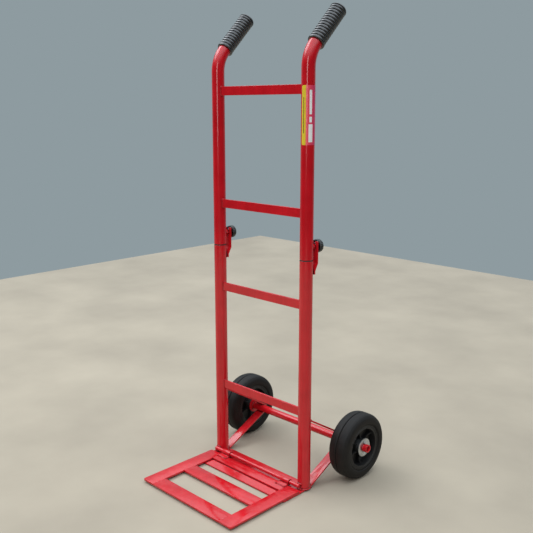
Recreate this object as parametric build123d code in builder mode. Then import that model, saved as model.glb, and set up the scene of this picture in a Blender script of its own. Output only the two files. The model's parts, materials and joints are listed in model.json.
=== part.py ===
"""Folding-toe hand truck with a take-apart handle frame.

Millimetres. +X is the truck's right, +Y is its back (the wheel side), +Z is up.
The origin is on the underside of the base plate, midway between the two uprights.
"""

from build123d import *
from math import asin, atan2, cos, degrees, hypot, radians, sin
import os

# ---------------------------------------------------------------- frame tubes
upright_spacing = 300.0
tube_od = 32.0
tube_wall = 2.0
tube_end_round = 1.6
joint_height = 583.0
spigot_clearance = 0.15
spigot_wall = 2.0
spigot_engagement = 60.0

# --------------------------------------------------------------- bent handles
handle_corner_height = 1049.0
handle_bend_radius = 75.0
handle_angle = 45.0
handle_length = 141.0

# ---------------------------------------------------------------------- rungs
top_rung_below_corner = 77.0
second_rung_above_joint = 109.0
third_rung_below_joint = 110.0
bottom_rung_height = 202.0
rung_width = 22.0
rung_thickness = 5.0
rung_front_offset = 5.5
bar_edge_round = 0.8

# ------------------------------------------------------------ base and struts
plate_thickness = 5.0
base_front_reach = 88.0
base_rear_margin = 2.0
base_side_margin = 13.0
plate_corner_radius = 5.0
strut_width = 25.0
strut_thickness = 4.0
strut_overrun = 8.0
lower_strut_foot_lift = 2.2
upper_strut_height = 178.0

# ------------------------------------------------------------ toe and hinge
toe_bar_width = 40.0
toe_rear_bar_width = 31.0
toe_slot_depth = 60.0
hinge_rod_diameter = 10.0
hinge_rod_overhang = 4.0
hinge_clearance = 0.05
knuckle_wall = 2.45
knuckle_length = 28.0
knuckle_inset = 42.0
knuckle_tongue = 12.0
toe_weld_gap = 1.5

# ----------------------------------------------------------- axle and wheels
axle_setback = 147.0
axle_diameter = 20.0
axle_wall = 2.5
axle_stub = 12.5
wheel_diameter = 170.0
tyre_width = 56.0
tyre_shoulder = 17.0
tyre_groove_width = 2.4
tyre_groove_depth = 2.0
tyre_bead_step = 3.0
wheel_gap_to_strut = 8.0
rim_diameter = 116.0
rim_ring = 10.0
rim_width = 50.0
rim_web = 5.0
rim_rib_thickness = 4.0
rim_rib_width = 34.0
rim_rib_count = 6
hub_diameter = 38.0
hub_length = 45.4
bush_wall = 2.95
bush_clearance = 0.05
side_play = 0.3
flange_diameter = 40.0
flange_thickness = 3.0
washer_diameter = 47.0
washer_thickness = 2.5
washer_clearance = 0.2
cotter_wire = 1.6
cotter_leg_gap = 0.3
cotter_hole_clearance = 0.25
cotter_spread_angle = 35.0
cotter_bend_radius = 1.4
cotter_eye_radius = 3.2
cotter_leg = 7.0
cotter_offset = 3.0

# ------------------------------------------------------------------ lock set
strap_width = 25.0
strap_thickness = 3.0
strap_top_above_joint = 42.0
strap_bottom_below_joint = 36.0
strap_crank = 17.0
strap_foot = 9.0
strap_bend_radius = 6.0
strap_corner = 3.0
slot_clearance = 0.5
lock_height_above_joint = 29.0
nut_across_flats = 13.0
nut_depth = 9.3
lock_gap = 0.2
stud_diameter = 8.0
stud_clearance = 0.05
stud_back_off = 1.5
stud_in_knob = 8.0
knob_washer_diameter = 18.0
knob_washer_thickness = 1.6
knob_washer_clearance = 0.2
knob_diameter = 32.0
knob_thickness = 12.0
knob_hub_diameter = 18.0
knob_hub_length = 2.5
knob_flute_count = 8
knob_flute_radius = 3.0
knob_edge_round = 1.2

# --------------------------------------------------------------------- grips
grip_wall = 2.6
grip_rib_height = 0.9
grip_rib_count = 12
grip_collar_height = 2.0
grip_collar_length = 6.0
grip_cap = 4.5
grip_setback = 2.0

# --------------------------------------------------------------------- label
label_height = 131.0
label_above_top_rung = 8.0
label_thickness = 0.3
label_start_angle = -14.0
label_end_angle = 125.0

# --------------------------------------------------------------- derived sizes
half_spacing = upright_spacing / 2
tube_radius = tube_od / 2
tube_bore = tube_radius - tube_wall
foot_height = plate_thickness
base_rear_reach = tube_radius + base_rear_margin
half_width = half_spacing + base_side_margin
axle_radius = axle_diameter / 2
axle_height = wheel_diameter / 2

hinge_y = -(tube_radius + hinge_rod_diameter / 2)
hinge_z = 2 * plate_thickness + hinge_rod_diameter / 2
knuckle_bore = hinge_rod_diameter / 2 + hinge_clearance
knuckle_radius = knuckle_bore + knuckle_wall

toe_rear_y = hinge_y - knuckle_radius - toe_weld_gap
toe_middle_y = toe_rear_y - toe_rear_bar_width - toe_slot_depth
toe_front_y = toe_middle_y - toe_bar_width - toe_slot_depth
toe_tip_y = toe_front_y - toe_bar_width

top_rung_height = handle_corner_height - top_rung_below_corner
second_rung_height = joint_height + second_rung_above_joint
third_rung_height = joint_height - third_rung_below_joint
label_bottom_height = top_rung_height + label_above_top_rung - label_height

wheel_inner_x = half_spacing + strut_width / 2 + wheel_gap_to_strut
wheel_centre_x = wheel_inner_x + tyre_width / 2
hub_inner_x = wheel_centre_x - hub_length / 2
hub_outer_x = wheel_centre_x + hub_length / 2
washer_inner_x = hub_outer_x + side_play
washer_outer_x = washer_inner_x + washer_thickness
axle_end_x = washer_outer_x + axle_stub
cotter_x = washer_outer_x + cotter_offset
bush_radius = axle_radius + bush_clearance + bush_wall
cotter_leg_y = (cotter_wire + cotter_leg_gap) / 2
cotter_hole_radius = cotter_leg_y + cotter_wire / 2 + cotter_hole_clearance

lock_z = joint_height + lock_height_above_joint
nut_face_y = tube_radius + nut_depth
strap_front_y = nut_face_y + lock_gap
strap_back_y = strap_front_y + strap_thickness
knob_washer_y = strap_back_y + lock_gap
knob_y = knob_washer_y + knob_washer_thickness + lock_gap

sides = {"left": -1, "right": 1}
upright_centres = [(-half_spacing, 0, 0), (half_spacing, 0, 0)]
tall = 3 * handle_corner_height

os.makedirs("parts", exist_ok=True)


def save(piece, name):
    """Label one finished piece and write it as its own file."""
    piece.label = name
    export_step(piece, f"parts/{name}.step")


def make_strut(x, start_height, above):
    """A flat bar from the back of an upright that runs tangent over or under the axle."""
    start = (tube_radius, start_height)
    rise = axle_height - start_height
    run = axle_setback - tube_radius
    reach = hypot(run, rise)
    lift = asin((axle_radius + strut_thickness / 2) / reach)
    angle = atan2(rise, run) + (lift if above else -lift)
    front = -tube_radius
    back = reach * cos(lift) + strut_overrun
    middle = (front + back) / 2
    with BuildPart() as strut:
        with BuildSketch(Plane.YZ.offset(x)):
            with Locations((start[0] + middle * cos(angle), start[1] + middle * sin(angle))):
                Rectangle(back - front, strut_thickness, rotation=degrees(angle))
        extrude(amount=strut_width / 2, both=True)
        with Locations((x, 0, joint_height / 2)):
            Cylinder(tube_radius, joint_height, mode=Mode.SUBTRACT)
        with Locations((x, 0, foot_height)):
            Box(
                2 * strut_width,
                4 * axle_setback,
                wheel_diameter,
                align=(Align.CENTER, Align.CENTER, Align.MAX),
                mode=Mode.SUBTRACT,
            )
    return strut.part


# ------------------------------------------------------------------ base plate
with BuildPart() as base_plate:
    base_depth = base_front_reach + base_rear_reach
    with Locations((0, base_rear_reach - base_depth / 2, plate_thickness / 2)):
        Box(2 * half_width, base_depth, plate_thickness)
    fillet(base_plate.edges().filter_by(Axis.Z), plate_corner_radius)
save(base_plate.part, "base_plate")

# -------------------------------------------------------- lower frame, by side
for side, sign in sides.items():
    x = sign * half_spacing

    with BuildPart() as lower_upright:
        with BuildSketch(Plane.XY.offset(foot_height)):
            with Locations((x, 0)):
                Circle(tube_radius)
                Circle(tube_bore, mode=Mode.SUBTRACT)
        extrude(amount=joint_height - foot_height)
        top_rim = lower_upright.edges().group_by(Axis.Z)[-1].sort_by(SortBy.RADIUS)[-1]
        fillet(top_rim, tube_end_round)
    save(lower_upright.part, f"{side}_lower_upright")

    with BuildPart() as spigot:
        spigot_radius = tube_bore - spigot_clearance
        with BuildSketch(Plane.XY.offset(joint_height - spigot_engagement)):
            with Locations((x, 0)):
                Circle(spigot_radius)
                Circle(spigot_radius - spigot_wall, mode=Mode.SUBTRACT)
        extrude(amount=2 * spigot_engagement)
        chamfer(spigot.edges().group_by(Axis.Z)[-1].sort_by(SortBy.RADIUS)[-1], 1.0)
    save(spigot.part, f"{side}_spigot")

    # The lower strut rises from the foot under the axle, the upper one falls over it.
    save(make_strut(x, foot_height + lower_strut_foot_lift, False), f"{side}_lower_strut")
    save(make_strut(x, upper_strut_height, True), f"{side}_upper_strut")

    # The lock strap is welded low on the upright and stands clear of the handle tube.
    with BuildPart() as lock_strap:
        strap_y = strap_front_y + strap_thickness / 2
        foot_y = tube_radius + strap_thickness / 2
        strap_top = joint_height + strap_top_above_joint
        strap_bottom = joint_height - strap_bottom_below_joint
        with BuildLine(Plane.YZ.offset(x)):
            FilletPolyline(
                (strap_y, strap_top),
                (strap_y, strap_bottom + strap_foot + strap_crank),
                (foot_y, strap_bottom + strap_foot),
                (foot_y, strap_bottom),
                radius=strap_bend_radius,
            )
        with BuildSketch(Plane.XY.offset(strap_top)):
            with Locations((x, strap_y)):
                Rectangle(strap_width, strap_thickness)
        sweep()
        fillet(
            lock_strap.edges().filter_by(Axis.Y).group_by(Axis.Z)[-1],
            strap_corner,
        )
        slot_radius = stud_diameter / 2 + slot_clearance
        with BuildSketch(Plane.XZ.offset(-strap_y)):
            with Locations((x, lock_z)):
                Circle(slot_radius)
                Rectangle(
                    2 * slot_radius, strap_top_above_joint, align=(Align.CENTER, Align.MIN)
                )
        extrude(amount=2 * strap_thickness, both=True, mode=Mode.SUBTRACT)
    save(lock_strap.part, f"{side}_lock_strap")

# ------------------------------------------------------------------------ axle
with BuildPart() as axle:
    with BuildSketch(Plane.YZ.offset(-axle_end_x)):
        with Locations((axle_setback, axle_height)):
            Circle(axle_radius)
            Circle(axle_radius - axle_wall, mode=Mode.SUBTRACT)
    extrude(amount=2 * axle_end_x)
    with Locations((-cotter_x, axle_setback, axle_height), (cotter_x, axle_setback, axle_height)):
        Cylinder(cotter_hole_radius, 2 * axle_diameter, mode=Mode.SUBTRACT)
save(axle.part, "axle")

for side, sign in sides.items():
    axle_plane = Plane(
        origin=(0, axle_setback, axle_height), x_dir=(0, 1, 0), z_dir=(sign, 0, 0)
    )

    with BuildPart() as inner_flange:
        with BuildSketch(axle_plane.offset(hub_inner_x - side_play - flange_thickness)):
            Circle(flange_diameter / 2)
            Circle(axle_radius, mode=Mode.SUBTRACT)
        extrude(amount=flange_thickness)
    save(inner_flange.part, f"{side}_inner_flange")

    with BuildPart() as outer_washer:
        with BuildSketch(axle_plane.offset(washer_inner_x)):
            Circle(washer_diameter / 2)
            Circle(axle_radius + washer_clearance, mode=Mode.SUBTRACT)
        extrude(amount=washer_thickness)
    save(outer_washer.part, f"{side}_outer_washer")

    # A split pin: one wire bent into an eye above the axle and two spread legs below.
    with BuildPart() as cotter_pin:
        leg_top = axle_height + axle_radius + cotter_wire / 2
        leg_bottom = axle_height - axle_radius - cotter_wire / 2
        eye_side = leg_top + cotter_eye_radius - cotter_leg_y
        half = [
            (
                cotter_leg_y + cotter_leg * sin(radians(cotter_spread_angle)),
                leg_bottom - cotter_leg * cos(radians(cotter_spread_angle)),
            ),
            (cotter_leg_y, leg_bottom),
            (cotter_leg_y, leg_top),
            (cotter_eye_radius, eye_side),
            (cotter_eye_radius, eye_side + cotter_eye_radius + cotter_wire / 2),
        ]
        near = [(axle_setback + y, z) for y, z in half]
        far = [(axle_setback - y, z) for y, z in reversed(half)]
        half_bends = [
            cotter_bend_radius,
            cotter_bend_radius,
            cotter_wire * 0.7,
            cotter_eye_radius * 0.98,
        ]
        with BuildLine(Plane.YZ.offset(sign * cotter_x)) as wire_path:
            FilletPolyline(*near, *far, radius=half_bends + half_bends[::-1])
        with BuildSketch(Plane(wire_path.line @ 0, z_dir=wire_path.line % 0)):
            Circle(cotter_wire / 2)
        sweep()
    save(cotter_pin.part, f"{side}_cotter_pin")

# ---------------------------------------------------------------------- wheels
for side, sign in sides.items():
    wheel_axis = Axis((0, axle_setback, axle_height), (1, 0, 0))
    centre = sign * wheel_centre_x
    profile_plane = Plane(
        origin=(centre, axle_setback, axle_height), x_dir=(1, 0, 0), z_dir=(0, -1, 0)
    )
    tyre_radius = wheel_diameter / 2
    rim_radius = rim_diameter / 2

    with BuildPart() as tyre:
        with BuildSketch(profile_plane) as tyre_section:
            with Locations((0, (tyre_radius + rim_radius) / 2)):
                Rectangle(tyre_width, tyre_radius - rim_radius)
            fillet(tyre_section.vertices().group_by(Axis.Y)[-1], tyre_shoulder)
            with Locations((0, tyre_radius)):
                Rectangle(tyre_groove_width, 2 * tyre_groove_depth, mode=Mode.SUBTRACT)
            with Locations((-tyre_width / 2, rim_radius), (tyre_width / 2, rim_radius)):
                Rectangle(tyre_width - rim_width, 2 * tyre_bead_step, mode=Mode.SUBTRACT)
        revolve(axis=wheel_axis)
    save(tyre.part, f"{side}_tyre")

    with BuildPart() as rim:
        with BuildSketch(profile_plane):
            with Locations((0, rim_radius - rim_ring / 2)):
                Rectangle(rim_width, rim_ring)
            with Locations((0, (rim_radius + bush_radius) / 2)):
                Rectangle(rim_web, rim_radius - bush_radius)
            with Locations((0, (hub_diameter / 2 + bush_radius) / 2)):
                Rectangle(hub_length, hub_diameter / 2 - bush_radius)
        revolve(axis=wheel_axis)
        with BuildSketch(Plane.YZ.offset(centre - rim_rib_width / 2)):
            with Locations((axle_setback, axle_height)):
                rib_inner = (hub_diameter / 2 + bush_radius) / 2
                rib_outer = rim_radius - rim_ring / 2
                with PolarLocations((rib_inner + rib_outer) / 2, rim_rib_count, start_angle=90):
                    Rectangle(rib_outer - rib_inner, rim_rib_thickness)
        extrude(amount=rim_rib_width)
    save(rim.part, f"{side}_rim")

    with BuildPart() as bush:
        with BuildSketch(Plane.YZ.offset(centre - hub_length / 2)):
            with Locations((axle_setback, axle_height)):
                Circle(bush_radius)
                Circle(axle_radius + bush_clearance, mode=Mode.SUBTRACT)
        extrude(amount=hub_length)
    save(bush.part, f"{side}_bush")

# ------------------------------------------------------- rungs, coped to the tubes
rungs = {
    "top_rung": top_rung_height,
    "second_rung": second_rung_height,
    "third_rung": third_rung_height,
    "bottom_rung": bottom_rung_height,
}
for name, height in rungs.items():
    with BuildPart() as rung:
        with Locations((0, rung_thickness / 2 - rung_front_offset, height)):
            Box(upright_spacing, rung_thickness, rung_width)
        fillet(rung.edges().filter_by(Axis.X), bar_edge_round)
        with Locations(*upright_centres):
            Cylinder(tube_radius, tall, mode=Mode.SUBTRACT)
    save(rung.part, name)

# ------------------------------------------------------- handle frame, by side
handle_slope = radians(handle_angle)
handle_dir = (0, sin(handle_slope), cos(handle_slope))
bend_tangent = handle_bend_radius * sin(handle_slope / 2) / cos(handle_slope / 2)
for side, sign in sides.items():
    x = sign * half_spacing

    with BuildPart() as upper_upright:
        with BuildLine(Plane.YZ.offset(x)):
            FilletPolyline(
                (0, joint_height),
                (0, handle_corner_height),
                (
                    handle_length * sin(handle_slope),
                    handle_corner_height + handle_length * cos(handle_slope),
                ),
                radius=handle_bend_radius,
            )
        with BuildSketch(Plane.XY.offset(joint_height)):
            with Locations((x, 0)):
                Circle(tube_radius)
                Circle(tube_bore, mode=Mode.SUBTRACT)
        sweep()
        low_rim = upper_upright.edges().group_by(Axis.Z)[0].sort_by(SortBy.RADIUS)[-1]
        fillet(low_rim, tube_end_round)
    save(upper_upright.part, f"{side}_upper_upright")

    with BuildPart() as lock_nut:
        with BuildSketch(Plane((x, nut_face_y, lock_z), x_dir=(1, 0, 0), z_dir=(0, -1, 0))):
            RegularPolygon(nut_across_flats / 2, 6, major_radius=False)
            Circle(stud_diameter / 2 + stud_clearance, mode=Mode.SUBTRACT)
        extrude(amount=nut_depth + tube_wall)
        with Locations((x, 0, lock_z)):
            Cylinder(tube_radius, 2 * knob_diameter, mode=Mode.SUBTRACT)
    save(lock_nut.part, f"{side}_lock_nut")

    # The grip is one moulded sleeve: collar, ribs and a closed end.
    with BuildPart() as grip:
        corner = (x, 0, handle_corner_height)
        grip_plane = Plane(
            origin=corner,
            x_dir=(1, 0, 0),
            z_dir=(0, -cos(handle_slope), sin(handle_slope)),
        )
        grip_start = bend_tangent + grip_setback
        grip_end = handle_length + grip_cap
        grip_radius = tube_radius + grip_wall
        ribs_start = grip_start + grip_collar_length
        pitch = (handle_length - ribs_start) / grip_rib_count
        with BuildSketch(grip_plane):
            with Locations((0, grip_start)):
                Rectangle(
                    grip_radius, grip_end - grip_start, align=(Align.MIN, Align.MIN)
                )
                Rectangle(
                    grip_radius + grip_collar_height,
                    grip_collar_length,
                    align=(Align.MIN, Align.MIN),
                )
            for step in range(grip_rib_count):
                with Locations((0, ribs_start + (step + 0.6) * pitch)):
                    Rectangle(
                        grip_radius + grip_rib_height,
                        0.5 * pitch,
                        align=(Align.MIN, Align.CENTER),
                    )
            with Locations((0, grip_start)):
                Rectangle(
                    tube_radius,
                    handle_length - grip_start,
                    align=(Align.MIN, Align.MIN),
                    mode=Mode.SUBTRACT,
                )
        revolve(axis=Axis(corner, handle_dir))
    save(grip.part, f"{side}_grip")

# ----------------------------------------------------------------------- label
with BuildPart() as label:
    with BuildSketch(Plane.XY.offset(label_bottom_height)):
        with BuildLine():
            sweep_angle = label_end_angle - label_start_angle
            inner = CenterArc(
                (half_spacing, 0), tube_radius, label_start_angle - 90, sweep_angle
            )
            outer = CenterArc(
                (half_spacing, 0),
                tube_radius + label_thickness,
                label_start_angle - 90,
                sweep_angle,
            )
            Line(inner @ 0, outer @ 0)
            Line(inner @ 1, outer @ 1)
        make_face()
    extrude(amount=label_height)
save(label.part, "label")

# ---------------------------------------------------------- knobs and their studs
for side, sign in sides.items():
    x = sign * half_spacing
    lock_axis_plane = Plane((x, 0, lock_z), x_dir=(1, 0, 0), z_dir=(0, 1, 0))

    with BuildPart() as knob_washer:
        with BuildSketch(lock_axis_plane.offset(knob_washer_y)):
            Circle(knob_washer_diameter / 2)
            Circle(stud_diameter / 2 + knob_washer_clearance, mode=Mode.SUBTRACT)
        extrude(amount=knob_washer_thickness)
    save(knob_washer.part, f"{side}_knob_washer")

    with BuildPart() as knob_stud:
        with BuildSketch(lock_axis_plane.offset(tube_radius + stud_back_off)):
            Circle(stud_diameter / 2)
        extrude(amount=knob_y + stud_in_knob - tube_radius - stud_back_off)
    save(knob_stud.part, f"{side}_knob_stud")

    with BuildPart() as knob:
        with BuildSketch(lock_axis_plane.offset(knob_y)):
            Circle(knob_hub_diameter / 2)
        extrude(amount=knob_hub_length)
        with BuildSketch(lock_axis_plane.offset(knob_y + knob_hub_length)):
            Circle(knob_diameter / 2)
            with PolarLocations(knob_diameter / 2 + knob_flute_radius / 2, knob_flute_count):
                Circle(knob_flute_radius, mode=Mode.SUBTRACT)
        extrude(amount=knob_thickness)
        fillet(knob.edges().group_by(Axis.Y)[-1], knob_edge_round)
        with BuildSketch(lock_axis_plane.offset(knob_y)):
            Circle(stud_diameter / 2)
        extrude(amount=stud_in_knob, mode=Mode.SUBTRACT)
    save(knob.part, f"{side}_knob")

# ------------------------------------------------------------------ hinge rod
with BuildPart() as hinge_rod:
    rod_half_length = half_spacing + hinge_rod_overhang
    with BuildSketch(Plane.YZ.offset(-rod_half_length)):
        with Locations((hinge_y, hinge_z)):
            Circle(hinge_rod_diameter / 2)
    extrude(amount=2 * rod_half_length)
    chamfer(hinge_rod.edges().filter_by(GeomType.CIRCLE), bar_edge_round)
save(hinge_rod.part, "hinge_rod")

# --------------------------------------------------------------- toe flat bars
cross_bars = {
    "toe_front_bar": (toe_tip_y, toe_front_y),
    "toe_middle_bar": (toe_middle_y - toe_bar_width, toe_middle_y),
    "toe_rear_bar": (toe_rear_y - toe_rear_bar_width, toe_rear_y),
}
for name, (front, rear) in cross_bars.items():
    with BuildPart() as cross_bar:
        with Locations((0, (front + rear) / 2, 1.5 * plate_thickness)):
            Box(2 * (half_width - toe_bar_width), rear - front, plate_thickness)
    save(cross_bar.part, name)

for side, sign in sides.items():
    with BuildPart() as side_bar:
        bar_x = sign * (half_width - toe_bar_width / 2)
        with Locations((bar_x, (toe_tip_y + toe_rear_y) / 2, 1.5 * plate_thickness)):
            Box(toe_bar_width, toe_rear_y - toe_tip_y, plate_thickness)
        outer_corners = side_bar.edges().filter_by(Axis.Z).group_by(Axis.X)
        fillet(outer_corners[-1 if sign > 0 else 0], plate_corner_radius)
    save(side_bar.part, f"toe_{side}_bar")

    # A knuckle turns on the rod, with a tongue that is welded onto the toe.
    with BuildPart() as knuckle:
        knuckle_x = sign * (half_spacing - knuckle_inset)
        with BuildSketch(Plane.YZ.offset(knuckle_x - knuckle_length / 2)):
            with Locations((hinge_y, hinge_z)):
                Circle(knuckle_radius)
            with Locations((toe_rear_y - knuckle_tongue, 2 * plate_thickness)):
                Rectangle(
                    hinge_y - toe_rear_y + knuckle_tongue,
                    knuckle_wall,
                    align=(Align.MIN, Align.MIN),
                )
            with Locations((hinge_y, hinge_z)):
                Circle(knuckle_bore, mode=Mode.SUBTRACT)
        extrude(amount=knuckle_length)
    save(knuckle.part, f"{side}_toe_knuckle")
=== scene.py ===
import bpy
import json
import math
from mathutils import Matrix, Vector


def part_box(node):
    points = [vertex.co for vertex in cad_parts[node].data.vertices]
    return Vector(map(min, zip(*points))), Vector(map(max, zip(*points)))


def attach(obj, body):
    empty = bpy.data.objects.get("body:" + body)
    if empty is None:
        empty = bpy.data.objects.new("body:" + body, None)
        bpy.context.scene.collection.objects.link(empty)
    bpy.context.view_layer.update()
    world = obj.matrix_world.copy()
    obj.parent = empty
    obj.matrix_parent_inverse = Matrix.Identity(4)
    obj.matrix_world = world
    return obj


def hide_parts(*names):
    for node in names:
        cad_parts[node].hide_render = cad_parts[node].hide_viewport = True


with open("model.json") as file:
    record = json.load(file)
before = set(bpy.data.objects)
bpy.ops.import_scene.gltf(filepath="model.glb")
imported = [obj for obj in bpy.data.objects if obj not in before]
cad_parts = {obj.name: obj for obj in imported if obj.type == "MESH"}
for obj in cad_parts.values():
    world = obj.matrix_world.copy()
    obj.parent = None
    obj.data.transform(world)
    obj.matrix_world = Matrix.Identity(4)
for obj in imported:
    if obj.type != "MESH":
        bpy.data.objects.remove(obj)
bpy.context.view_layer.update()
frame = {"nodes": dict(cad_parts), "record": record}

nodes = frame["nodes"]
record = frame["record"]
bodyOf = {node: body for body, group in record["behaviour"]["bodies"].items() for node in group}
slotOf = {part["node"]: part["material_slot"] for part in record["subparts"]}
mm = 0.001
sides = {"left": -1, "right": 1}
print("frame loaded:", len(nodes), "nodes")


def hexToLinear(hexCode):
    # sRGB hex to the linear colour that the shaders want
    parts = [int(hexCode[i:i + 2], 16) / 255 for i in (1, 3, 5)]
    return [p / 12.92 if p <= 0.04045 else ((p + 0.055) / 1.055) ** 2.4 for p in parts] + [1.0]


def addNode(tree, kind, links=None, **settings):
    # one shader node: a setting is a property, an input's name, an input's number (in1) or ramp stops
    node = tree.nodes.new("ShaderNode" + kind)
    for name, value in settings.items():
        if isinstance(value, str) and value.startswith("#"):
            value = hexToLinear(value)
        if name == "stops":
            band = node.color_ramp.elements
            for spot, (at, shade) in enumerate(value):
                stop = band[spot] if spot < 2 else band.new(at)
                stop.position = at
                stop.color = hexToLinear(shade) if isinstance(shade, str) else (shade, shade, shade, 1)
        elif name in node.bl_rna.properties:
            setattr(node, name, value)
        elif name[:2] == "in" and name[2:].isdigit():
            node.inputs[int(name[2:])].default_value = value
        else:
            node.inputs[name.replace("_", " ")].default_value = value
    for socket, source in (links or {}).items():
        tree.links.new(source, node.inputs[socket])
    return node.outputs[0] if node.outputs else None


def newMaterial(name, **finish):
    # an empty principled material: its tree, its shader and the object coordinates
    material = bpy.data.materials.new(name)
    material.use_nodes = True
    tree = material.node_tree
    tree.nodes.clear()
    shader = addNode(tree, "BsdfPrincipled", **finish).node
    addNode(tree, "OutputMaterial", {"Surface": shader.outputs[0]})
    coordinates = addNode(tree, "TexCoord").node.outputs
    return material, tree, shader, coordinates


def perMetre(size):
    # a noise scale from the size in millimetres of one feature
    return 1 / (size * mm)


enamelLook = {
    "deep": "#C0131D",
    "bright": "#D21A25",
    "dust": "#D9B9AC",
    "peelSize": 2.4,
    "blotchSize": 55,
    "dustHeight": 0.22,
    "roughness": 0.14,
    # colour of the painted shade in crevices and joints
    "creviceDirt": "#1C0808",
    "creviceReach": 4,
    "rimBand": 1.5,
    # colour of the dark band painted round the tubes where their ends meet
    "rimSteel": "#170C0B",
}


def makeRedEnamel(name, rimHeight=None):
    # alkyd gloss enamel sprayed on mild steel: wet shine, orange peel, slow sags, dust where it lies flat
    look = enamelLook
    material, tree, shader, coordinates = newMaterial(
        name, IOR=1.5, Coat_Weight=0.15, Coat_Roughness=0.08)
    place, facing = coordinates["Object"], coordinates["Normal"]
    blotch = addNode(tree, "TexNoise", {"Vector": place}, Scale=perMetre(look["blotchSize"]), Detail=3)
    tone = addNode(tree, "ValToRGB", {"Fac": blotch}, stops=[(0.3, look["deep"]), (0.7, look["bright"])])
    # long vertical sags and wipe marks
    stretched = addNode(tree, "Mapping", {"Vector": place}, Scale=(1, 1, 0.06))
    sag = addNode(tree, "TexNoise", {"Vector": stretched}, Scale=perMetre(5), Detail=4)
    sagTone = addNode(tree, "ValToRGB", {"Fac": sag}, stops=[(0.35, 0.86), (0.65, 1.0)])
    tone = addNode(tree, "MixRGB", {"Color1": tone, "Color2": sagTone}, blend_type="MULTIPLY", Fac=0.55)
    # dust settles on faces that look up, and thickens towards the ground
    up = addNode(tree, "SeparateXYZ", {"Vector": facing}).node.outputs["Z"]
    height = addNode(tree, "SeparateXYZ", {"Vector": place}).node.outputs["Z"]
    upMask = addNode(tree, "MapRange", {"Value": up}, From_Min=0.55, From_Max=0.95)
    lowMask = addNode(tree, "MapRange", {"Value": height}, From_Min=look["dustHeight"], From_Max=0.0)
    grime = addNode(tree, "TexNoise", {"Vector": place}, Scale=perMetre(14), Detail=6, Roughness=0.65)
    grimeMask = addNode(tree, "ValToRGB", {"Fac": grime}, stops=[(0.42, 0.0), (0.75, 1.0)])
    dusty = addNode(tree, "Math", {0: upMask, 1: lowMask}, operation="MULTIPLY")
    dusty = addNode(tree, "Math", {0: dusty, 1: grimeMask}, operation="MULTIPLY")
    dustShare = addNode(tree, "Math", {0: dusty}, operation="MULTIPLY", in1=0.05)
    tone = addNode(tree, "MixRGB", {"Fac": dustShare, "Color1": tone}, Color2=look["dust"])
    # painted shade: ambient occlusion darkens the colour down in the joints and seams, where nearby
    # surfaces hem it in
    nearby = addNode(tree, "AmbientOcclusion", samples=8, Distance=look["creviceReach"] * mm)
    crevice = nearby.node.outputs["AO"]
    paintedShadeShare = addNode(tree, "MapRange", {"Value": crevice}, From_Min=0.85, From_Max=0.5, To_Max=0.9)
    tone = addNode(tree, "MixRGB", {"Fac": paintedShadeShare, "Color1": tone}, Color2=look["creviceDirt"])
    if rimHeight:  # a near-black band painted round the tubes where the two tube ends meet
        away = addNode(tree, "Math", {0: height}, operation="SUBTRACT", in1=rimHeight)
        away = addNode(tree, "Math", {0: away}, operation="ABSOLUTE")
        away = addNode(tree, "Math", {0: grime, 2: away}, operation="MULTIPLY_ADD", in1=0.6 * mm)
        jointBandShare = addNode(tree, "MapRange", {"Value": away}, From_Min=(look["rimBand"] + 0.5) * mm,
                       From_Max=look["rimBand"] * mm)
        tone = addNode(tree, "MixRGB", {"Fac": jointBandShare, "Color1": tone}, Color2=look["rimSteel"])
    tree.links.new(tone, shader.inputs["Base Color"])
    # rubbed patches and dust take the shine down
    smear = addNode(tree, "TexNoise", {"Vector": place}, Scale=perMetre(22), Detail=5, Roughness=0.6)
    gloss = addNode(tree, "MapRange", {"Value": smear}, To_Min=look["roughness"] - 0.04,
                    To_Max=look["roughness"] + 0.07)
    gloss = addNode(tree, "Math", {0: dusty, 2: gloss}, operation="MULTIPLY_ADD", in1=0.08)
    tree.links.new(gloss, shader.inputs["Roughness"])
    peel = addNode(tree, "TexNoise", {"Vector": place}, Scale=perMetre(look["peelSize"]), Detail=1)
    relief = addNode(tree, "Bump", {"Height": sag}, Strength=0.06, Distance=0.5 * mm)
    relief = addNode(tree, "Bump", {"Height": peel, "Normal": relief}, Strength=0.05, Distance=0.25 * mm)
    tree.links.new(relief, shader.inputs["Normal"])
    return material


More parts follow.
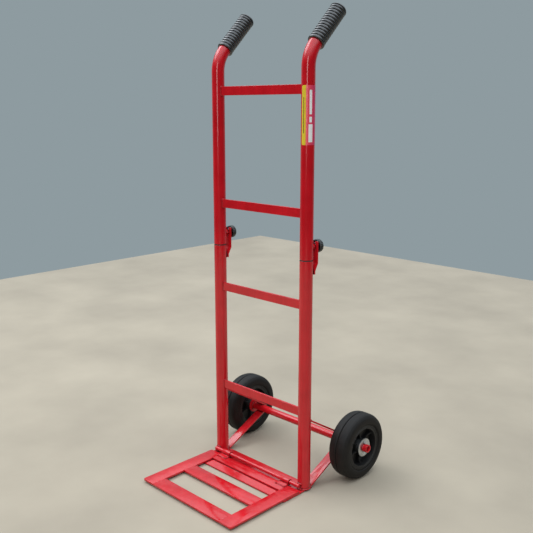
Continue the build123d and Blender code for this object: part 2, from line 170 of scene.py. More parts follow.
def makeBlackPolymer(name, base, light, roughness, grainSize, grain, dust=0.0, dustTone="#6A6259",
                     scuffSize=18, ior=1.5, coat=0.0):
    # moulded black rubber or plastic: a fine skin, scuffs that grey it, and dust in the low places
    material, tree, shader, coordinates = newMaterial(
        name, IOR=ior, Coat_Weight=coat, Coat_IOR=1.6, Coat_Roughness=roughness)
    place = coordinates["Object"]
    scuff = addNode(tree, "TexNoise", {"Vector": place}, Scale=perMetre(scuffSize), Detail=7, Roughness=0.7)
    tone = addNode(tree, "ValToRGB", {"Fac": scuff}, stops=[(0.35, base), (0.75, light)])
    speckle = addNode(tree, "TexNoise", {"Vector": place}, Scale=perMetre(1.6), Detail=4, Roughness=0.8)
    speckMask = addNode(tree, "ValToRGB", {"Fac": speckle}, stops=[(0.5, 0.0), (0.8, 1.0)])
    patch = addNode(tree, "ValToRGB", {"Fac": scuff}, stops=[(0.4, 0.0), (0.7, 1.0)])
    dustMask = addNode(tree, "Math", {0: speckMask, 1: patch}, operation="MULTIPLY")
    dustMask = addNode(tree, "Math", {0: dustMask}, operation="MULTIPLY", in1=dust)
    tone = addNode(tree, "MixRGB", {"Fac": dustMask, "Color1": tone}, Color2=dustTone)
    tree.links.new(tone, shader.inputs["Base Color"])
    shine = addNode(tree, "MapRange", {"Value": scuff}, From_Min=0.3, From_Max=0.75,
                    To_Min=roughness - 0.05, To_Max=roughness + 0.15)
    tree.links.new(shine, shader.inputs["Roughness"])
    skin = addNode(tree, "TexNoise", {"Vector": place}, Scale=perMetre(grainSize), Detail=3, Roughness=0.6)
    relief = addNode(tree, "Bump", {"Height": skin}, Strength=grain, Distance=0.2 * mm)
    tree.links.new(relief, shader.inputs["Normal"])
    return material


def makeSteel(name, light, dark, roughness, spangle):
    # bare or zinc plated mild steel: a cloudy bright metal with fine grain
    material, tree, shader, coordinates = newMaterial(name, Metallic=1.0)
    place = coordinates["Object"]
    cloud = addNode(tree, "TexNoise", {"Vector": place}, Scale=perMetre(spangle), Detail=5, Roughness=0.65)
    tone = addNode(tree, "ValToRGB", {"Fac": cloud}, stops=[(0.3, dark), (0.7, light)])
    tree.links.new(tone, shader.inputs["Base Color"])
    shine = addNode(tree, "MapRange", {"Value": cloud}, To_Min=roughness + 0.12, To_Max=roughness - 0.08)
    tree.links.new(shine, shader.inputs["Roughness"])
    grain = addNode(tree, "TexNoise", {"Vector": place}, Scale=perMetre(0.9), Detail=2)
    relief = addNode(tree, "Bump", {"Height": grain}, Strength=0.1, Distance=0.1 * mm)
    tree.links.new(relief, shader.inputs["Normal"])
    return material


labelLook = {
    "startAngle": -14,
    "endAngle": 125,
    "cornerRadius": 4,
    "thickness": 0.22,
    "strips": 40,
    "stripe": "#EBD23A",
    "nearRed": "#FA5866",
    "farRed": "#D63566",
    "print": "#FBFAF8",
    "rule": "#3A3320",
    "stripeShare": 0.27,
}


def printedBlock(tree, across, along, centre, half, soft=0.004):
    # 1 inside a blank printed block of the label, 0 outside it
    masks = []
    for value, middle, reach in ((across, centre[0], half[0]), (along, centre[1], half[1])):
        away = addNode(tree, "Math", {0: value}, operation="SUBTRACT", in1=middle)
        away = addNode(tree, "Math", {0: away}, operation="ABSOLUTE")
        masks.append(addNode(tree, "MapRange", {"Value": away}, From_Min=reach + soft, From_Max=reach))
    return addNode(tree, "Math", {0: masks[0], 1: masks[1]}, operation="MULTIPLY")


def makeLabelVinyl():
    # screen printed vinyl: a yellow stripe beside red, blank blocks, a clear gloss over the ink
    look = labelLook
    material, tree, shader, coordinates = newMaterial(
        "screenPrintedVinyl", Roughness=0.32, IOR=1.46, Coat_Weight=0.4, Coat_Roughness=0.12)
    split = addNode(tree, "SeparateXYZ", {"Vector": coordinates["UV"]}).node.outputs
    across, along = split["X"], split["Y"]
    red = addNode(tree, "ValToRGB", {"Fac": across}, stops=[(0.3, look["nearRed"]), (0.85, look["farRed"])])
    stripe = addNode(tree, "MapRange", {"Value": across}, From_Min=look["stripeShare"] + 0.006,
                     From_Max=look["stripeShare"])
    tone = addNode(tree, "MixRGB", {"Fac": stripe, "Color1": red}, Color2=look["stripe"])
    blocks = [((0.56, 0.72), (0.075, 0.2)), ((0.56, 0.43), (0.075, 0.045)), ((0.56, 0.2), (0.12, 0.15))]
    for centre, half in blocks:
        block = printedBlock(tree, across, along, centre, half)
        tone = addNode(tree, "MixRGB", {"Fac": block, "Color1": tone}, Color2=look["print"])
    rule = printedBlock(tree, across, along, (0.135, 0.5), (0.018, 0.3))
    tone = addNode(tree, "MixRGB", {"Fac": rule, "Color1": tone}, Color2=look["rule"])
    ink = addNode(tree, "TexNoise", {"Vector": coordinates["Object"]}, Scale=perMetre(9), Detail=6)
    fade = addNode(tree, "ValToRGB", {"Fac": ink}, stops=[(0.3, 0.9), (0.7, 1.0)])
    tone = addNode(tree, "MixRGB", {"Color1": tone, "Color2": fade}, blend_type="MULTIPLY", Fac=1.0)
    tree.links.new(tone, shader.inputs["Base Color"])
    ripple = addNode(tree, "TexNoise", {"Vector": coordinates["Object"]}, Scale=perMetre(12), Detail=2)
    relief = addNode(tree, "Bump", {"Height": ripple}, Strength=0.15, Distance=0.3 * mm)
    tree.links.new(relief, shader.inputs["Normal"])
    return material


materials = {
    "red_enamel": makeRedEnamel("sprayedRedEnamel"),
    # dusty grey-black tread compound, matt
    "tyre_rubber": makeBlackPolymer("mouldedTyreRubber", "#0C0B0A", "#1C1815", 0.58, 1.1, 0.3,
                                    dust=0.3, ior=1.38),
    # injection moulded polypropylene, satin
    "rim_plastic": makeBlackPolymer("mouldedPolypropylene", "#0C0C0D", "#171717", 0.45, 1.4, 0.12,
                                    dust=0.1),
    # dip moulded PVC, wet looking on the ribs
    "grip_rubber": makeBlackPolymer("dipMouldedPvc", "#0A0C0D", "#131618", 0.3, 1.8, 0.02, dust=0.03,
                                    scuffSize=26, ior=1.6, coat=0.6),
    # moulded phenolic, polished
    "knob_plastic": makeBlackPolymer("mouldedPhenolic", "#060607", "#101012", 0.22, 1.4, 0.06, ior=1.6),
    "zinc_plate": makeSteel("brightZincPlate", "#D9DBDC", "#A9ADB0", 0.34, 3.5),
    "bare_steel": makeSteel("millScaleSteel", "#8E8F90", "#5B5C5E", 0.42, 9),
    "bush_steel": makeSteel("drawnBushSteel", "#9C9DA0", "#75777A", 0.36, 6),
    "label": makeLabelVinyl(),
}
jointPaint = makeRedEnamel("sprayedRedEnamelWornRims", rimHeight=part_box("left_lower_upright")[1].z)
for name, node in nodes.items():
    node.data.materials.clear()
    node.data.materials.append(jointPaint if name.endswith("_upright") else materials[slotOf[name]])
print("materials made:", len(materials))


def onlySelect(piece):
    bpy.ops.object.select_all(action="DESELECT")
    piece.select_set(True)
    bpy.context.view_layer.objects.active = piece


def middleOf(node):
    low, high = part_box(node)
    return (low + high) / 2


def camelName(node):
    first, *rest = node.split("_")
    return first + "".join(word.capitalize() for word in rest)


def finishPiece(piece, body, slot, replaced=(), edge=0, segments=2, smooth=35):
    # rounds the sharp edges, shades the mesh and hands the piece to its body
    onlySelect(piece)
    if edge:
        bevel = piece.modifiers.new("edge", "BEVEL")
        bevel.width = edge * mm
        bevel.segments = segments
        bevel.limit_method = "ANGLE"
        bevel.angle_limit = math.radians(32)
        bpy.ops.object.modifier_apply(modifier=bevel.name)
    bpy.ops.object.mode_set(mode="EDIT")
    bpy.ops.mesh.select_all(action="SELECT")
    bpy.ops.mesh.remove_doubles(threshold=0.002 * mm)
    bpy.ops.mesh.normals_make_consistent(inside=False)
    bpy.ops.object.mode_set(mode="OBJECT")
    bpy.ops.object.shade_smooth_by_angle(angle=math.radians(smooth))
    piece.data.materials.clear()
    piece.data.materials.append(materials[slot])
    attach(piece, body)
    if replaced:
        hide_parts(*replaced)
    return piece


def softenNode(node, edge, segments=2):
    # a copy of a cut steel part with the edges that shears, rollers and paint leave round
    piece = bpy.data.objects.new(camelName(node) + "Piece", nodes[node].data.copy())
    bpy.context.scene.collection.objects.link(piece)
    onlySelect(piece)
    bpy.ops.mesh.customdata_custom_splitnormals_clear()
    bpy.ops.object.mode_set(mode="EDIT")
    bpy.ops.mesh.select_all(action="SELECT")
    bpy.ops.mesh.remove_doubles(threshold=0.01 * mm)
    bpy.ops.mesh.dissolve_limited(angle_limit=math.radians(0.6))
    bpy.ops.object.mode_set(mode="OBJECT")
    return finishPiece(piece, bodyOf[node], slotOf[node], [node], edge, segments)


softEdges = {
    "base_plate": 0.8,
    "toe_front_bar": 0.7,
    "toe_middle_bar": 0.7,
    "toe_rear_bar": 0.7,
    "toe_left_bar": 0.8,
    "toe_right_bar": 0.8,
    "lock_strap": 0.5,
    "lock_nut": 0.4,
    "lower_strut": 0.6,
    "upper_strut": 0.6,
    "outer_washer": 0.5,
    "knob_washer": 0.3,
    "inner_flange": 0.5,
    "toe_knuckle": 0.5,
    "axle": 0.4,
}
for node in sorted(nodes):
    edge = softEdges.get(node) or softEdges.get(node.partition("_")[2])
    if edge:
        softenNode(node, edge)
print("cut steel parts softened")


def turnOutline(name, outline, steps):
    # a point is extruded through (radius, height) corners in mm, and the line is spun about Z
    bpy.ops.object.select_all(action="DESELECT")
    bpy.ops.mesh.primitive_plane_add(size=mm)
    piece = bpy.context.object
    piece.name = name
    bpy.ops.object.mode_set(mode="EDIT")
    bpy.ops.mesh.select_all(action="SELECT")
    bpy.ops.mesh.merge(type="CENTER")
    corners = [Vector((radius, 0, height)) * mm for radius, height in outline]
    bpy.ops.transform.translate(value=corners[0])
    for before, after in zip(corners, corners[1:]):
        bpy.ops.mesh.extrude_vertices_move(TRANSFORM_OT_translate={"value": after - before})
    bpy.ops.mesh.select_all(action="SELECT")
    bpy.ops.mesh.spin(steps=steps, angle=2 * math.pi, center=(0, 0, 0), axis=(0, 0, 1))
    bpy.ops.mesh.select_all(action="SELECT")
    bpy.ops.mesh.remove_doubles(threshold=0.005 * mm)
    bpy.ops.mesh.normals_make_consistent(inside=False)
    bpy.ops.object.mode_set(mode="OBJECT")
    return piece


def turnedSpan(node, direction):
    # a turned node's near end on its axis, its length and its largest radius, in metres
    points = [vertex.co for vertex in nodes[node].data.vertices]
    along = [point.dot(direction) for point in points]
    across = [direction.orthogonal().normalized()]
    across.append(direction.cross(across[0]))
    start = direction * min(along)
    for axis in across:
        reach = [point.dot(axis) for point in points]
        start += axis * (min(reach) + max(reach)) / 2
    radius = max((point - start).cross(direction).length for point in points)
    return start, max(along) - min(along), radius


def standOn(piece, start, direction):
    # turns the piece's own Z onto its axis, and keeps the place in the mesh
    piece.matrix_world = Matrix.Translation(start) @ direction.to_track_quat("Z", "Y").to_matrix().to_4x4()
    onlySelect(piece)
    bpy.ops.object.transform_apply(location=True, rotation=True, scale=True)


gripLook = {
    "lean": 45,
    "ribs": 12,
    "collarLength": 6.5,
    "lipDrop": 0.3,
    "capLength": 6.5,
    "grooveShare": 0.3,
    "grooveDepth": 2.6,
    "wall": 2.4,
    "steps": 72,
}


def makeGrip(side):
    look = gripLook
    node = side + "_grip"
    lean = math.radians(look["lean"])
    direction = Vector((0, math.sin(lean), math.cos(lean)))
    start, length, largest = turnedSpan(node, direction)
    length, collar = length / mm, largest / mm
    tubeRadius = (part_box(side + "_lower_upright")[1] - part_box(side + "_lower_upright")[0]).x / 2 / mm
    crest = collar - look["lipDrop"] - 0.2
    valley = crest - look["grooveDepth"]
    bore = tubeRadius + 0.05
    ribStart = look["collarLength"]
    pitch = (length - look["capLength"] - ribStart) / look["ribs"]
    outline = [(bore, 0), (collar - 0.9, 0), (collar - 0.2, 0.7), (collar, 2), (collar, ribStart - 2.2),
               (collar - 0.5, ribStart - 0.9)]
    groove = look["grooveShare"] * pitch
    for rib in range(look["ribs"]):
        base = ribStart + rib * pitch
        outline += [
            (valley + 0.15, base - 0.1),
            (valley, base + 0.35 * groove),
            (valley + 0.15, base + 0.75 * groove),
            (crest - 0.9, base + groove * 0.95),
            (crest - 0.3, base + groove + 0.12 * pitch),
            (crest, base + groove + 0.32 * pitch),
            (crest - 0.2, base + groove + 0.5 * pitch),
            (crest - 0.9, base + pitch - 0.3),
        ]
    capStart = ribStart + look["ribs"] * pitch
    rounding = look["capLength"] * 0.75
    outline += [(valley + 0.15, capStart + 0.1), (valley, capStart + 0.8), (crest - 0.4, capStart + 1.3)]
    for step in range(7):
        angle = math.radians(90 * step / 6)
        outline.append((crest + 0.1 - rounding * (1 - math.cos(angle)),
                        length - rounding * (1 - math.sin(angle))))
    inner = length - look["wall"] - 2
    outline += [(crest - rounding - 4, length - 0.15), (5, length - 0.1), (0, length - 0.1), (0, inner),
                (bore, inner), (bore, 0)]
    grip = turnOutline(side + "RibbedGrip", outline, look["steps"])
    standOn(grip, start, direction)
    finishPiece(grip, bodyOf[node], slotOf[node], [node], smooth=50)


for side in sides:
    makeGrip(side)
print("grips turned")

tyreLook = {
    "shoulder": 15,
    "arcSteps": 9,
    "grooveWidth": 2.6,
    "grooveDepth": 2.2,
    "shoulderLine": 0.5,
    "beadStep": 3.0,
    "steps": 160,
}


def makeTyre(side, sign):
    # the section runs from the bead up one wall, over the tread and down the other wall
    look = tyreLook
    node = side + "_tyre"
    direction = Vector((sign, 0, 0))
    start, length, largest = turnedSpan(node, direction)
    width, radius = length / mm, largest / mm - 0.03  # a hair inside the moulded size
    bore = turnedSpan(side + "_rim", direction)[2] / mm + 0.02
    half = []
    wall = radius - look["shoulder"]
    half += [(bore, look["beadStep"]), (bore + 2.6, look["beadStep"]), (bore + 3.2, look["beadStep"] - 0.8),
             (bore + 3.4, 1.2), (bore + 4.4, 0.5), (bore + 6, 0.1), (bore + 8.4, 0)]
    half += [(wall - 2, 0.0)]
    for step in range(look["arcSteps"] + 1):
        angle = math.radians(90 * step / look["arcSteps"])
        half.append((wall + look["shoulder"] * math.sin(angle) * 0.985,
                     look["shoulder"] * 1.12 * (1 - math.cos(angle))))
        if step == 5:  # a raised mould line round the shoulder
            over, inn = half[-1]
            half += [
                (over + look["shoulderLine"], inn + 0.25),
                (over + look["shoulderLine"] + 0.35, inn + 1.0),
                (over + 0.75, inn + 1.5),
            ]
    middle = width / 2
    crown = [(radius - 0.12, middle - 0.32 * width / 2 - 2), (radius, middle - look["grooveWidth"] * 1.8),
             (radius, middle - look["grooveWidth"] / 2 - 0.4),
             (radius - 0.35, middle - look["grooveWidth"] / 2),
             (radius - look["grooveDepth"], middle - look["grooveWidth"] / 2 + 0.45)]
    near = half + crown
    far = [(r, width - z) for r, z in reversed(near)]
    tyre = turnOutline(side + "SolidTyre", near + far + near[:1], look["steps"])
    standOn(tyre, start, direction)
    finishPiece(tyre, bodyOf[node], slotOf[node], [node], smooth=42)


rimLook = {
    "ringInner": 47.5,
    "ringStep": 52.5,
    "web": 5,
    "hub": 19,
    "hubSocket": 15.2,
    "ribs": 6,
    "ribThickness": 4,
    "ribWidth": 33,
    "ribScoop": 6,
    "steps": 128,
}


def makeRim(side, sign):
    # two moulded dishes back to back with a web between them, and six ribs on each face
    look = rimLook
    node = side + "_rim"
    direction = Vector((sign, 0, 0))
    start, length, largest = turnedSpan(node, direction)
    width, radius = length / mm, largest / mm
    bore = turnedSpan(side + "_bush", direction)[2] / mm + 0.02
    hubLength = turnedSpan(side + "_bush", direction)[1] / mm
    middle = width / 2
    hubEnd = middle - hubLength / 2
    near = [
        (bore, hubEnd), (look["hubSocket"], hubEnd), (look["hubSocket"] + 0.6, hubEnd + 0.7),
        (look["hub"] - 1.2, hubEnd + 0.7), (look["hub"] - 0.5, hubEnd + 1.0), (look["hub"], hubEnd + 1.8),
        (look["hub"] + 0.8, middle - look["web"] / 2 - 3), (look["hub"] + 3, middle - look["web"] / 2),
        (look["ringInner"] - 3.5, middle - look["web"] / 2 - 0.3),
        (look["ringInner"] - 1.0, middle - look["web"] / 2 - 2.2),
        (look["ringInner"] + 0.6, 3.0), (look["ringInner"] + 1.1, 1.2), (look["ringInner"] + 2, 0.7),
        (look["ringStep"] - 0.6, 0.7), (look["ringStep"], 0.9), (look["ringStep"] + 0.4, 1.5),
        (look["ringStep"] + 1.4, 1.5), (look["ringStep"] + 1.9, 0.6),
        (radius - 1.3, 0.2), (radius - 0.5, 0.5),
        (radius, 1.2),
    ]
    far = [(r, width - z) for r, z in reversed(near)]
    rim = turnOutline(side + "MouldedRim", near + far + near[:1], look["steps"])
    parts = [rim]
    inner, outer = (look["hub"] - 1.5) * mm, (look["ringInner"] + 0.8) * mm
    for spoke in range(look["ribs"]):
        bpy.ops.object.select_all(action="DESELECT")
        bpy.ops.mesh.primitive_cube_add(size=1)
        rib = bpy.context.object
        rib.scale = (outer - inner, look["ribThickness"] * mm, look["ribWidth"] * mm)
        rib.location = ((outer + inner) / 2, 0, middle * mm)
        bpy.ops.object.transform_apply(location=True, rotation=True, scale=True)
        bpy.ops.object.mode_set(mode="EDIT")
        for cut in (0.25, 0.5, 0.75):
            bpy.ops.mesh.select_all(action="SELECT")
            bpy.ops.mesh.bisect(plane_co=(inner + cut * (outer - inner), 0, 0), plane_no=(1, 0, 0))
        bpy.ops.object.mode_set(mode="OBJECT")
        for vertex in rib.data.vertices:  # the free edges dip between hub and ring, and thin with draft
            share = (vertex.co.x - inner) / (outer - inner)
            dip = look["ribScoop"] * mm * math.sin(math.pi * share)
            face = 1 if vertex.co.z > middle * mm else -1
            vertex.co.z -= face * dip
            vertex.co.y *= 0.82
        bevel = rib.modifiers.new("edge", "BEVEL")
        bevel.width = 0.6 * mm
        bevel.segments = 2
        bpy.ops.object.modifier_apply(modifier=bevel.name)
        turn = math.radians(90 + spoke * 360 / look["ribs"])
        rib.matrix_world = Matrix.Rotation(turn, 4, "Z")
        bpy.ops.object.transform_apply(location=True, rotation=True, scale=True)
        parts.append(rib)
    bpy.ops.object.select_all(action="DESELECT")
    for part in parts:
        part.select_set(True)
    bpy.context.view_layer.objects.active = rim
    bpy.ops.object.join()
    standOn(rim, start, direction)
    finishPiece(rim, bodyOf[node], slotOf[node], [node], smooth=40)


for side, sign in sides.items():
    makeTyre(side, sign)
    makeRim(side, sign)
print("wheels turned")

knobLook = {"flutes": 24, "fluteDepth": 0.7, "points": 192, "hub": 9, "hubLength": 2.5, "dish": 0.9}


def makeKnob(side):
    # a fluted star knob: a circle pulled in at the flutes, extruded, domed and dished on its face
    look = knobLook
    node = side + "_knob"
    direction = Vector((0, 1, 0))
    start, length, largest = turnedSpan(node, direction)
    radius = largest - 0.02 * mm
    bpy.ops.object.select_all(action="DESELECT")
    bpy.ops.mesh.primitive_circle_add(vertices=look["points"], radius=look["hub"] * mm, fill_type="NGON")
    knob = bpy.context.object
    knob.name = side + "StarKnob"
    layers = [  # height, share of the full radius, share of the flute depth
        (look["hubLength"] - 0.2, None, 0), (look["hubLength"], 0.86, 0.7),
        (look["hubLength"] + 0.5, 0.95, 1),
        (look["hubLength"] + 1.6, 1.0, 1), (length / mm - 3.0, 1.0, 1), (length / mm - 1.3, 0.975, 1),
        (length / mm - 0.35, 0.92, 0.9), (length / mm, 0.84, 0.6), (length / mm, 0.7, 0.1),
        (length / mm - look["dish"], 0.62, 0), (length / mm - look["dish"], 0.36, 0),
        (length / mm - 0.3, 0.3, 0), (length / mm - 0.1, 0.2, 0),
    ]
    for height, share, flute in layers:
        bpy.ops.object.mode_set(mode="EDIT")
        bpy.ops.mesh.extrude_region_move(TRANSFORM_OT_translate={"value": (0, 0, 0)})
        bpy.ops.object.mode_set(mode="OBJECT")
        for vertex in knob.data.vertices:
            if vertex.select:
                angle = math.atan2(vertex.co.y, vertex.co.x)
                wave = (0.5 + 0.5 * math.cos(look["flutes"] * angle)) ** 1.6
                reach = look["hub"] * mm if share is None else radius * share
                reach -= flute * look["fluteDepth"] * mm * wave
                vertex.co = (reach * math.cos(angle), reach * math.sin(angle), height * mm)
    standOn(knob, start, direction)
    finishPiece(knob, bodyOf[node], slotOf[node], [node], smooth=40)


for side in sides:
    makeKnob(side)
print("knobs made")


def makeLabel():
    # a flat sheet with round corners, cut into strips and wrapped on the tube
    look = labelLook
    low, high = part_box("label")
    tube = middleOf("right_lower_upright")
    lowTube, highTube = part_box("right_lower_upright")
    radius = (highTube - lowTube).x / 2 + 0.03 * mm
    startAngle = math.radians(look["startAngle"])
    width = radius * (math.radians(look["endAngle"]) - startAngle)
    height = high.z - low.z
    bpy.ops.object.select_all(action="DESELECT")
    bpy.ops.mesh.primitive_plane_add(size=1)
    label = bpy.context.object
    label.name = "blankPrintedLabel"
    label.scale = (width, height, 1)
    label.location = (width / 2, height / 2, 0)
    bpy.ops.object.transform_apply(location=True, rotation=True, scale=True)
    bpy.ops.object.mode_set(mode="EDIT")
    bpy.ops.mesh.select_all(action="SELECT")
    bpy.ops.mesh.bevel(affect="VERTICES", offset=look["cornerRadius"] * mm, segments=8)
    for strip in range(1, look["strips"]):
        bpy.ops.mesh.select_all(action="SELECT")
        bpy.ops.mesh.bisect(plane_co=(width * strip / look["strips"], 0, 0), plane_no=(1, 0, 0))
    bpy.ops.object.mode_set(mode="OBJECT")
    mesh = label.data
    while mesh.uv_layers:
        mesh.uv_layers.remove(mesh.uv_layers[0])
    printMap = mesh.uv_layers.new(name="print")
    for loop in mesh.loops:
        spot = mesh.vertices[loop.vertex_index].co
        printMap.data[loop.index].uv = (spot.x / width, spot.y / height)
    for vertex in mesh.vertices:
        angle = startAngle + vertex.co.x / radius
        across, forward = radius * math.sin(angle), radius * math.cos(angle)
        vertex.co = (tube.x + across, tube.y - forward, low.z + vertex.co.y)
    onlySelect(label)
    sheet = label.modifiers.new("sheet", "SOLIDIFY")
    sheet.thickness = look["thickness"] * mm
    sheet.offset = 1
    bpy.ops.object.modifier_apply(modifier=sheet.name)
    finishPiece(label, bodyOf["label"], slotOf["label"], ["label"], smooth=30)


makeLabel()
print("label wrapped")

weldLook = {
    "ripple": 1.5,
    "rippleDepth": 0.13,
    "sink": 0.3,
    "rung": 1.5,
    "foot": 2.1,
    "strutSeam": 1.8,
    "strutAxle": 2.0,
    "rod": 2.0,
    "rodLift": 4.3,
    "rodSweep": 7,
    "rodTacks": ((3, 1, 3.2), (-2.5, 2, 3.0)),  # inset from the end, set back, bead radius
    "strapSide": 1.6,
    "strapOffset": 6,
    "strapLength": 10,
    "strapEnd": 1.7,
    "strapSweep": 8,
    "flange": 1.8,
    "nut": 1.5,
    "nutReach": 7.7,
    "knuckle": 1.7,
    "knuckleTack": 2.6,
    "butt": 2.3,
    "buttDepth": 1.9,
    "buttInset": 1.5,
}


def resample(points, gap, closed):
    # even steps along a path of straight pieces
    points = [Vector(p) for p in points]
    if closed:
        points.append(points[0])
    placed = []
    for before, after in zip(points, points[1:]):
        count = max(1, round((after - before).length / gap))
        placed += [before.lerp(after, step / count) for step in range(count)]
    return placed if closed else placed + [points[-1]]


def weldBead(points, radius, closed=False):
    # a rippled bead along a path: a round section on a curve whose radius swells at each ripple
    path = resample(points, weldLook["ripple"] * mm / 3, closed)
    curve = bpy.data.curves.new("bead", "CURVE")
    curve.dimensions = "3D"
    curve.bevel_depth = 1
    curve.bevel_resolution = 2
    curve.use_fill_caps = not closed
    line = curve.splines.new("POLY")
    line.points.add(len(path) - 1)
    line.use_cyclic_u = closed
    for count, (point, spot) in enumerate(zip(line.points, path)):
        point.co = (*spot, 1)
        swell = 1 - weldLook["rippleDepth"] * (count % 3) / 1.5
        wander = 1 + 0.08 * math.sin(count * 0.9) + 0.05 * math.sin(count * 0.37 + 1)
        ends = 1 if closed else min(1, 0.45 + 0.3 * min(count, len(path) - 1 - count))
        point.radius = radius * mm * swell * wander * ends
    bead = bpy.data.objects.new("bead", curve)
    bpy.context.scene.collection.objects.link(bead)
    onlySelect(bead)
    bpy.ops.object.convert(target="MESH")
    return bpy.context.object


def joinWelds(beads, name, body):
    bpy.ops.object.select_all(action="DESELECT")
    for bead in beads:
        bead.select_set(True)
    bpy.context.view_layer.objects.active = beads[0]
    bpy.ops.object.join()
    welds = bpy.context.object
    welds.name = name
    finishPiece(welds, body, "red_enamel", smooth=60)


def ring(centre, radius, first, second, count=40):
    # points round a circle that lies along two directions
    turns = [2 * math.pi * step / count for step in range(count)]
    return [centre + radius * (math.cos(turn) * first + math.sin(turn) * second) for turn in turns]


def rungWelds(rung):
    # a bead right round each end of a cross bar, where it meets the tube
    low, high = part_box(rung)
    beads = []
    for sign in sides.values():
        tube = middleOf("left_lower_upright" if sign < 0 else "right_lower_upright")
        loop = []
        for y, z in ((low.y, high.z), (high.y, high.z), (high.y, low.z), (low.y, low.z)):
            reach = math.sqrt(tubeRadius ** 2 - y * y) + weldLook["sink"] * mm
            loop.append((tube.x - sign * reach, y, z))
        beads.append(weldBead(loop, weldLook["rung"], closed=True))
    return beads


def seamOnTube(node, tube):
    # the edge where a coped bar meets its tube, in order round the bar
    points = []
    for vertex in nodes[node].data.vertices:
        away = math.hypot(vertex.co.x - tube.x, vertex.co.y - tube.y)
        if abs(away - tubeRadius) < 0.12 * mm:
            points.append(vertex.co.copy())
    centre = sum(points, Vector()) / len(points)
    return sorted(points, key=lambda p: math.atan2(p.z - centre.z, p.x - centre.x))


def strutAxleBeads(node):
    # a bead each side of the line where a strut touches the axle
    low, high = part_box(node)
    axle = middleOf("axle")
    axleLow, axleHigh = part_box("axle")
    radius = (axleHigh.z - axleLow.z) / 2
    faces = [face for face in nodes[node].data.polygons if abs(face.normal.x) < 0.1]
    widest = max(faces, key=lambda face: face.area)
    normal = widest.normal.copy()
    if normal.dot(Vector(widest.center) - axle) < 0:
        normal = -normal
    along = normal.cross(Vector((1, 0, 0)))
    beads = []
    for lean in (-32, 32):
        turn = math.radians(lean)
        outward = math.cos(turn) * normal + math.sin(turn) * along
        spot = Vector((0, axle.y, axle.z)) + (radius + 0.6 * mm) * outward
        ends = [(low.x + 1 * mm, spot.y, spot.z), (high.x - 1 * mm, spot.y, spot.z)]
        beads.append(weldBead(ends, weldLook["strutAxle"]))
    return beads


def tubeSkin(across):
    # how far the tube's surface stands from its axis at a place across it
    return math.sqrt(tubeRadius ** 2 - across ** 2)


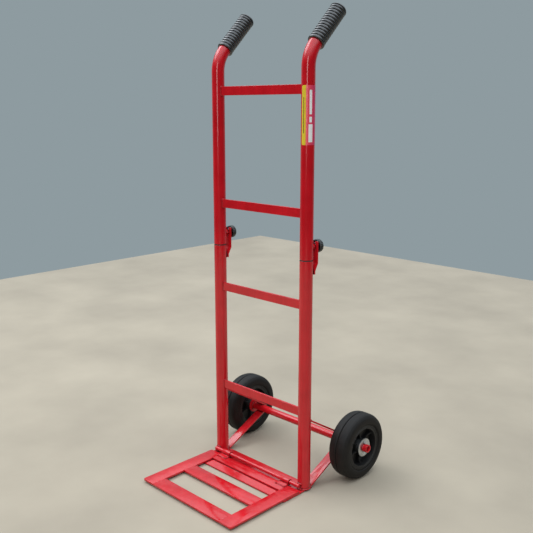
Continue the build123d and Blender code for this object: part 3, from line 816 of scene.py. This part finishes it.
lowTube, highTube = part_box("left_lower_upright")
tubeRadius = (highTube - lowTube).x / 2
lowerBeads, upperBeads, toeBeads = [], [], []
for rung in ("top_rung", "second_rung"):
    upperBeads += rungWelds(rung)
for rung in ("third_rung", "bottom_rung"):
    lowerBeads += rungWelds(rung)
look = weldLook
acrossTruck, alongTruck, upTruck = Vector((1, 0, 0)), Vector((0, 1, 0)), Vector((0, 0, 1))
rod, axle = middleOf("hinge_rod"), middleOf("axle")
axleRadius = (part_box("axle")[1].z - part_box("axle")[0].z) / 2
for side, sign in sides.items():
    tube = middleOf(side + "_lower_upright")
    foot = Vector((tube.x, tube.y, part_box(side + "_lower_upright")[0].z + 0.5 * mm))
    footRing = ring(foot, tubeRadius + 0.7 * mm, acrossTruck, alongTruck)
    lowerBeads.append(weldBead(footRing, look["foot"], closed=True))
    for strut in ("_lower_strut", "_upper_strut"):
        lowerBeads.append(weldBead(seamOnTube(side + strut, tube), look["strutSeam"], closed=True))
        lowerBeads += strutAxleBeads(side + strut)
    # hinge rod: a bead above and below its touch line on the tube
    for lift in (-look["rodLift"], look["rodLift"]):
        sweep = [step * mm for step in range(-look["rodSweep"], look["rodSweep"] + 1)]
        path = [(tube.x + t, tube.y - tubeSkin(t) - 0.9 * mm, rod.z + lift * mm) for t in sweep]
        lowerBeads.append(weldBead(path, look["rod"]))
    # tacks that hold the rod's ends to the base plate
    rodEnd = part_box("hinge_rod")[1].x * sign
    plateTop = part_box("base_plate")[1].z
    halfTack = Vector((0, 2 * mm, 0))
    for inset, back, size in look["rodTacks"]:
        blob = Vector((rodEnd - sign * inset * mm, rod.y + back * mm, plateTop + 2 * mm))
        lowerBeads.append(weldBead([blob - halfTack, blob + halfTack], size))
    # strap foot: down both edges of the touch line and across the end
    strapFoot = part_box(side + "_lock_strap")[0].z
    for offset in (-look["strapOffset"], look["strapOffset"]):
        edge = tube.y + tubeSkin(offset * mm) + 0.6 * mm
        heights = (strapFoot + 0.5 * mm, strapFoot + look["strapLength"] * mm)
        path = [(tube.x + offset * mm, edge, height) for height in heights]
        lowerBeads.append(weldBead(path, look["strapSide"]))
    sweep = [step * mm for step in range(-look["strapSweep"], look["strapSweep"] + 1, 2)]
    path = [(tube.x + t, tube.y + tubeSkin(t) + 0.7 * mm, strapFoot) for t in sweep]
    lowerBeads.append(weldBead(path, look["strapEnd"]))
    # wheel flange: a ring on its inner face
    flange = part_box(side + "_inner_flange")
    innerFace = flange[0].x if sign > 0 else flange[1].x
    seat = Vector((innerFace - sign * 0.4 * mm, axle.y, axle.z))
    flangeRing = ring(seat, axleRadius + 0.5 * mm, alongTruck, upTruck)
    lowerBeads.append(weldBead(flangeRing, look["flange"], closed=True))
    # lock nut on the handle tube
    nut = middleOf(side + "_lock_nut")
    loop = []
    for degrees in range(0, 360, 10):
        angle = math.radians(degrees)
        across = look["nutReach"] * mm * math.cos(angle)
        rise = look["nutReach"] * mm * math.sin(angle)
        loop.append((tube.x + across, tube.y + tubeSkin(across) + 0.3 * mm, nut.z + rise))
    upperBeads.append(weldBead(loop, look["nut"], closed=True))
    # knuckle tongue: across its front edge and back along both sides
    low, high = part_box(side + "_toe_knuckle")
    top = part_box("toe_rear_bar")[1].z + 0.2 * mm
    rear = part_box("toe_rear_bar")[1].y - 1 * mm
    path = [(low.x, rear, top), (low.x, low.y, top), (high.x, low.y, top), (high.x, rear, top)]
    toeBeads.append(weldBead(path, look["knuckle"]))
    for corner in (low.x, high.x):  # a heavier tack at each front corner
        tack = [(corner + t * mm, low.y - 0.5 * mm, top) for t in (-2, 2)]
        toeBeads.append(weldBead(tack, look["knuckleTack"]))
for bar in ("toe_front_bar", "toe_middle_bar", "toe_rear_bar"):
    low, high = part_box(bar)
    for end in (low.x, high.x):  # butt joints, ground almost flush
        height, inset = high.z - look["buttDepth"] * mm, look["buttInset"] * mm
        seam = [(end, low.y + inset, height), (end, high.y - inset, height)]
        toeBeads.append(weldBead(seam, look["butt"]))
joinWelds(lowerBeads, "lowerFrameWelds", "lower_frame")
joinWelds(upperBeads, "upperFrameWelds", "upper_frame")
joinWelds(toeBeads, "toeWelds", "toe")
print("weld beads laid")

bpy.ops.object.select_all(action="DESELECT")
bpy.ops.mesh.primitive_plane_add(size=5.2)
floor = bpy.context.object
floor.name = "floor"


def makeFloorPaint():
    # pale matt concrete, nearly plain
    material, tree, shader, coordinates = newMaterial("trowelledConcrete", Roughness=0.9)
    cloud = addNode(tree, "TexNoise", {"Vector": coordinates["Object"]}, Scale=2.5, Detail=5)
    tone = addNode(tree, "ValToRGB", {"Fac": cloud}, stops=[(0.3, "#9C9180"), (0.7, "#AEA28F")])
    tree.links.new(tone, shader.inputs["Base Color"])
    return material


floor.data.materials.append(makeFloorPaint())

skyLook = {
    "top": "#E6F0F9",
    "behind": "#8E9BA0",
    "front": "#33363A",
    "heading": (-0.7, 0.7, 0),
    "horizonStrength": 1.0,
    "overcastStrength": 2.1,
}
world = bpy.data.worlds.new("softSky")
bpy.context.scene.world = world
world.use_nodes = True
skyTree = world.node_tree
skyTree.nodes.clear()
# bright overcast above, grey-blue behind the truck and a shaded yard in front of it
lookUp = addNode(skyTree, "TexCoord").node.outputs["Generated"]
rise = addNode(skyTree, "SeparateXYZ", {"Vector": lookUp}).node.outputs["Z"]
turn = addNode(skyTree, "VectorMath", {0: lookUp}, operation="DOT_PRODUCT",
               in1=skyLook["heading"]).node.outputs["Value"]
aroundTone = addNode(skyTree, "ValToRGB", {"Fac": turn}, stops=[
    (0.05, skyLook["front"]), (0.6, skyLook["behind"])])
overcast = addNode(skyTree, "MapRange", {"Value": rise}, From_Min=0.3, From_Max=0.62)
skyTone = addNode(skyTree, "MixRGB", {"Fac": overcast, "Color1": aroundTone}, Color2=skyLook["top"])
power = addNode(skyTree, "MapRange", {"Value": rise}, From_Min=0.5, From_Max=0.78,
                To_Min=skyLook["horizonStrength"], To_Max=skyLook["overcastStrength"])
backdrop = addNode(skyTree, "Background", {"Color": skyTone, "Strength": power})
addNode(skyTree, "OutputWorld", {"Surface": backdrop})


def softLight(name, place, aim, size, power, tint="#FFFFFF"):
    lamp = bpy.data.lights.new(name, "AREA")
    lamp.shape = "RECTANGLE"
    lamp.size, lamp.size_y = size
    lamp.energy = power
    lamp.color = hexToLinear(tint)[:3]
    holder = bpy.data.objects.new(name, lamp)
    bpy.context.scene.collection.objects.link(holder)
    holder.location = place
    holder.rotation_euler = (Vector(aim) - Vector(place)).to_track_quat("-Z", "Y").to_euler()


softLight("skyPanel", (-2.0, -0.8, 3.1), (0, 0, 0.8), (2.4, 1.7), 46, "#F6FAFF")
softLight("yardPanel", (1.3, -2.7, 1.6), (0, 0, 0.6), (0.7, 1.9), 17)

cameraRig = {
    "azimuth": 44.5,
    "elevation": 12.0,
    "distance": 1.831,
    "target": (0.0195, 0.0, 0.548),
    "lens": 50.1,
}
azimuth = math.radians(cameraRig["azimuth"])
elevation = math.radians(cameraRig["elevation"])
outward = Vector((
    math.sin(azimuth) * math.cos(elevation),
    -math.cos(azimuth) * math.cos(elevation),
    math.sin(elevation),
))
cameraData = bpy.data.cameras.new("camera")
cameraData.lens = cameraRig["lens"]
cameraData.sensor_width = 36
camera = bpy.data.objects.new("camera", cameraData)
bpy.context.scene.collection.objects.link(camera)
camera.location = Vector(cameraRig["target"]) + outward * cameraRig["distance"]
camera.rotation_euler = (-outward).to_track_quat("-Z", "Y").to_euler()
bpy.context.scene.camera = camera
bpy.context.scene.view_settings.view_transform = "Standard"
print("stage, light and camera set")
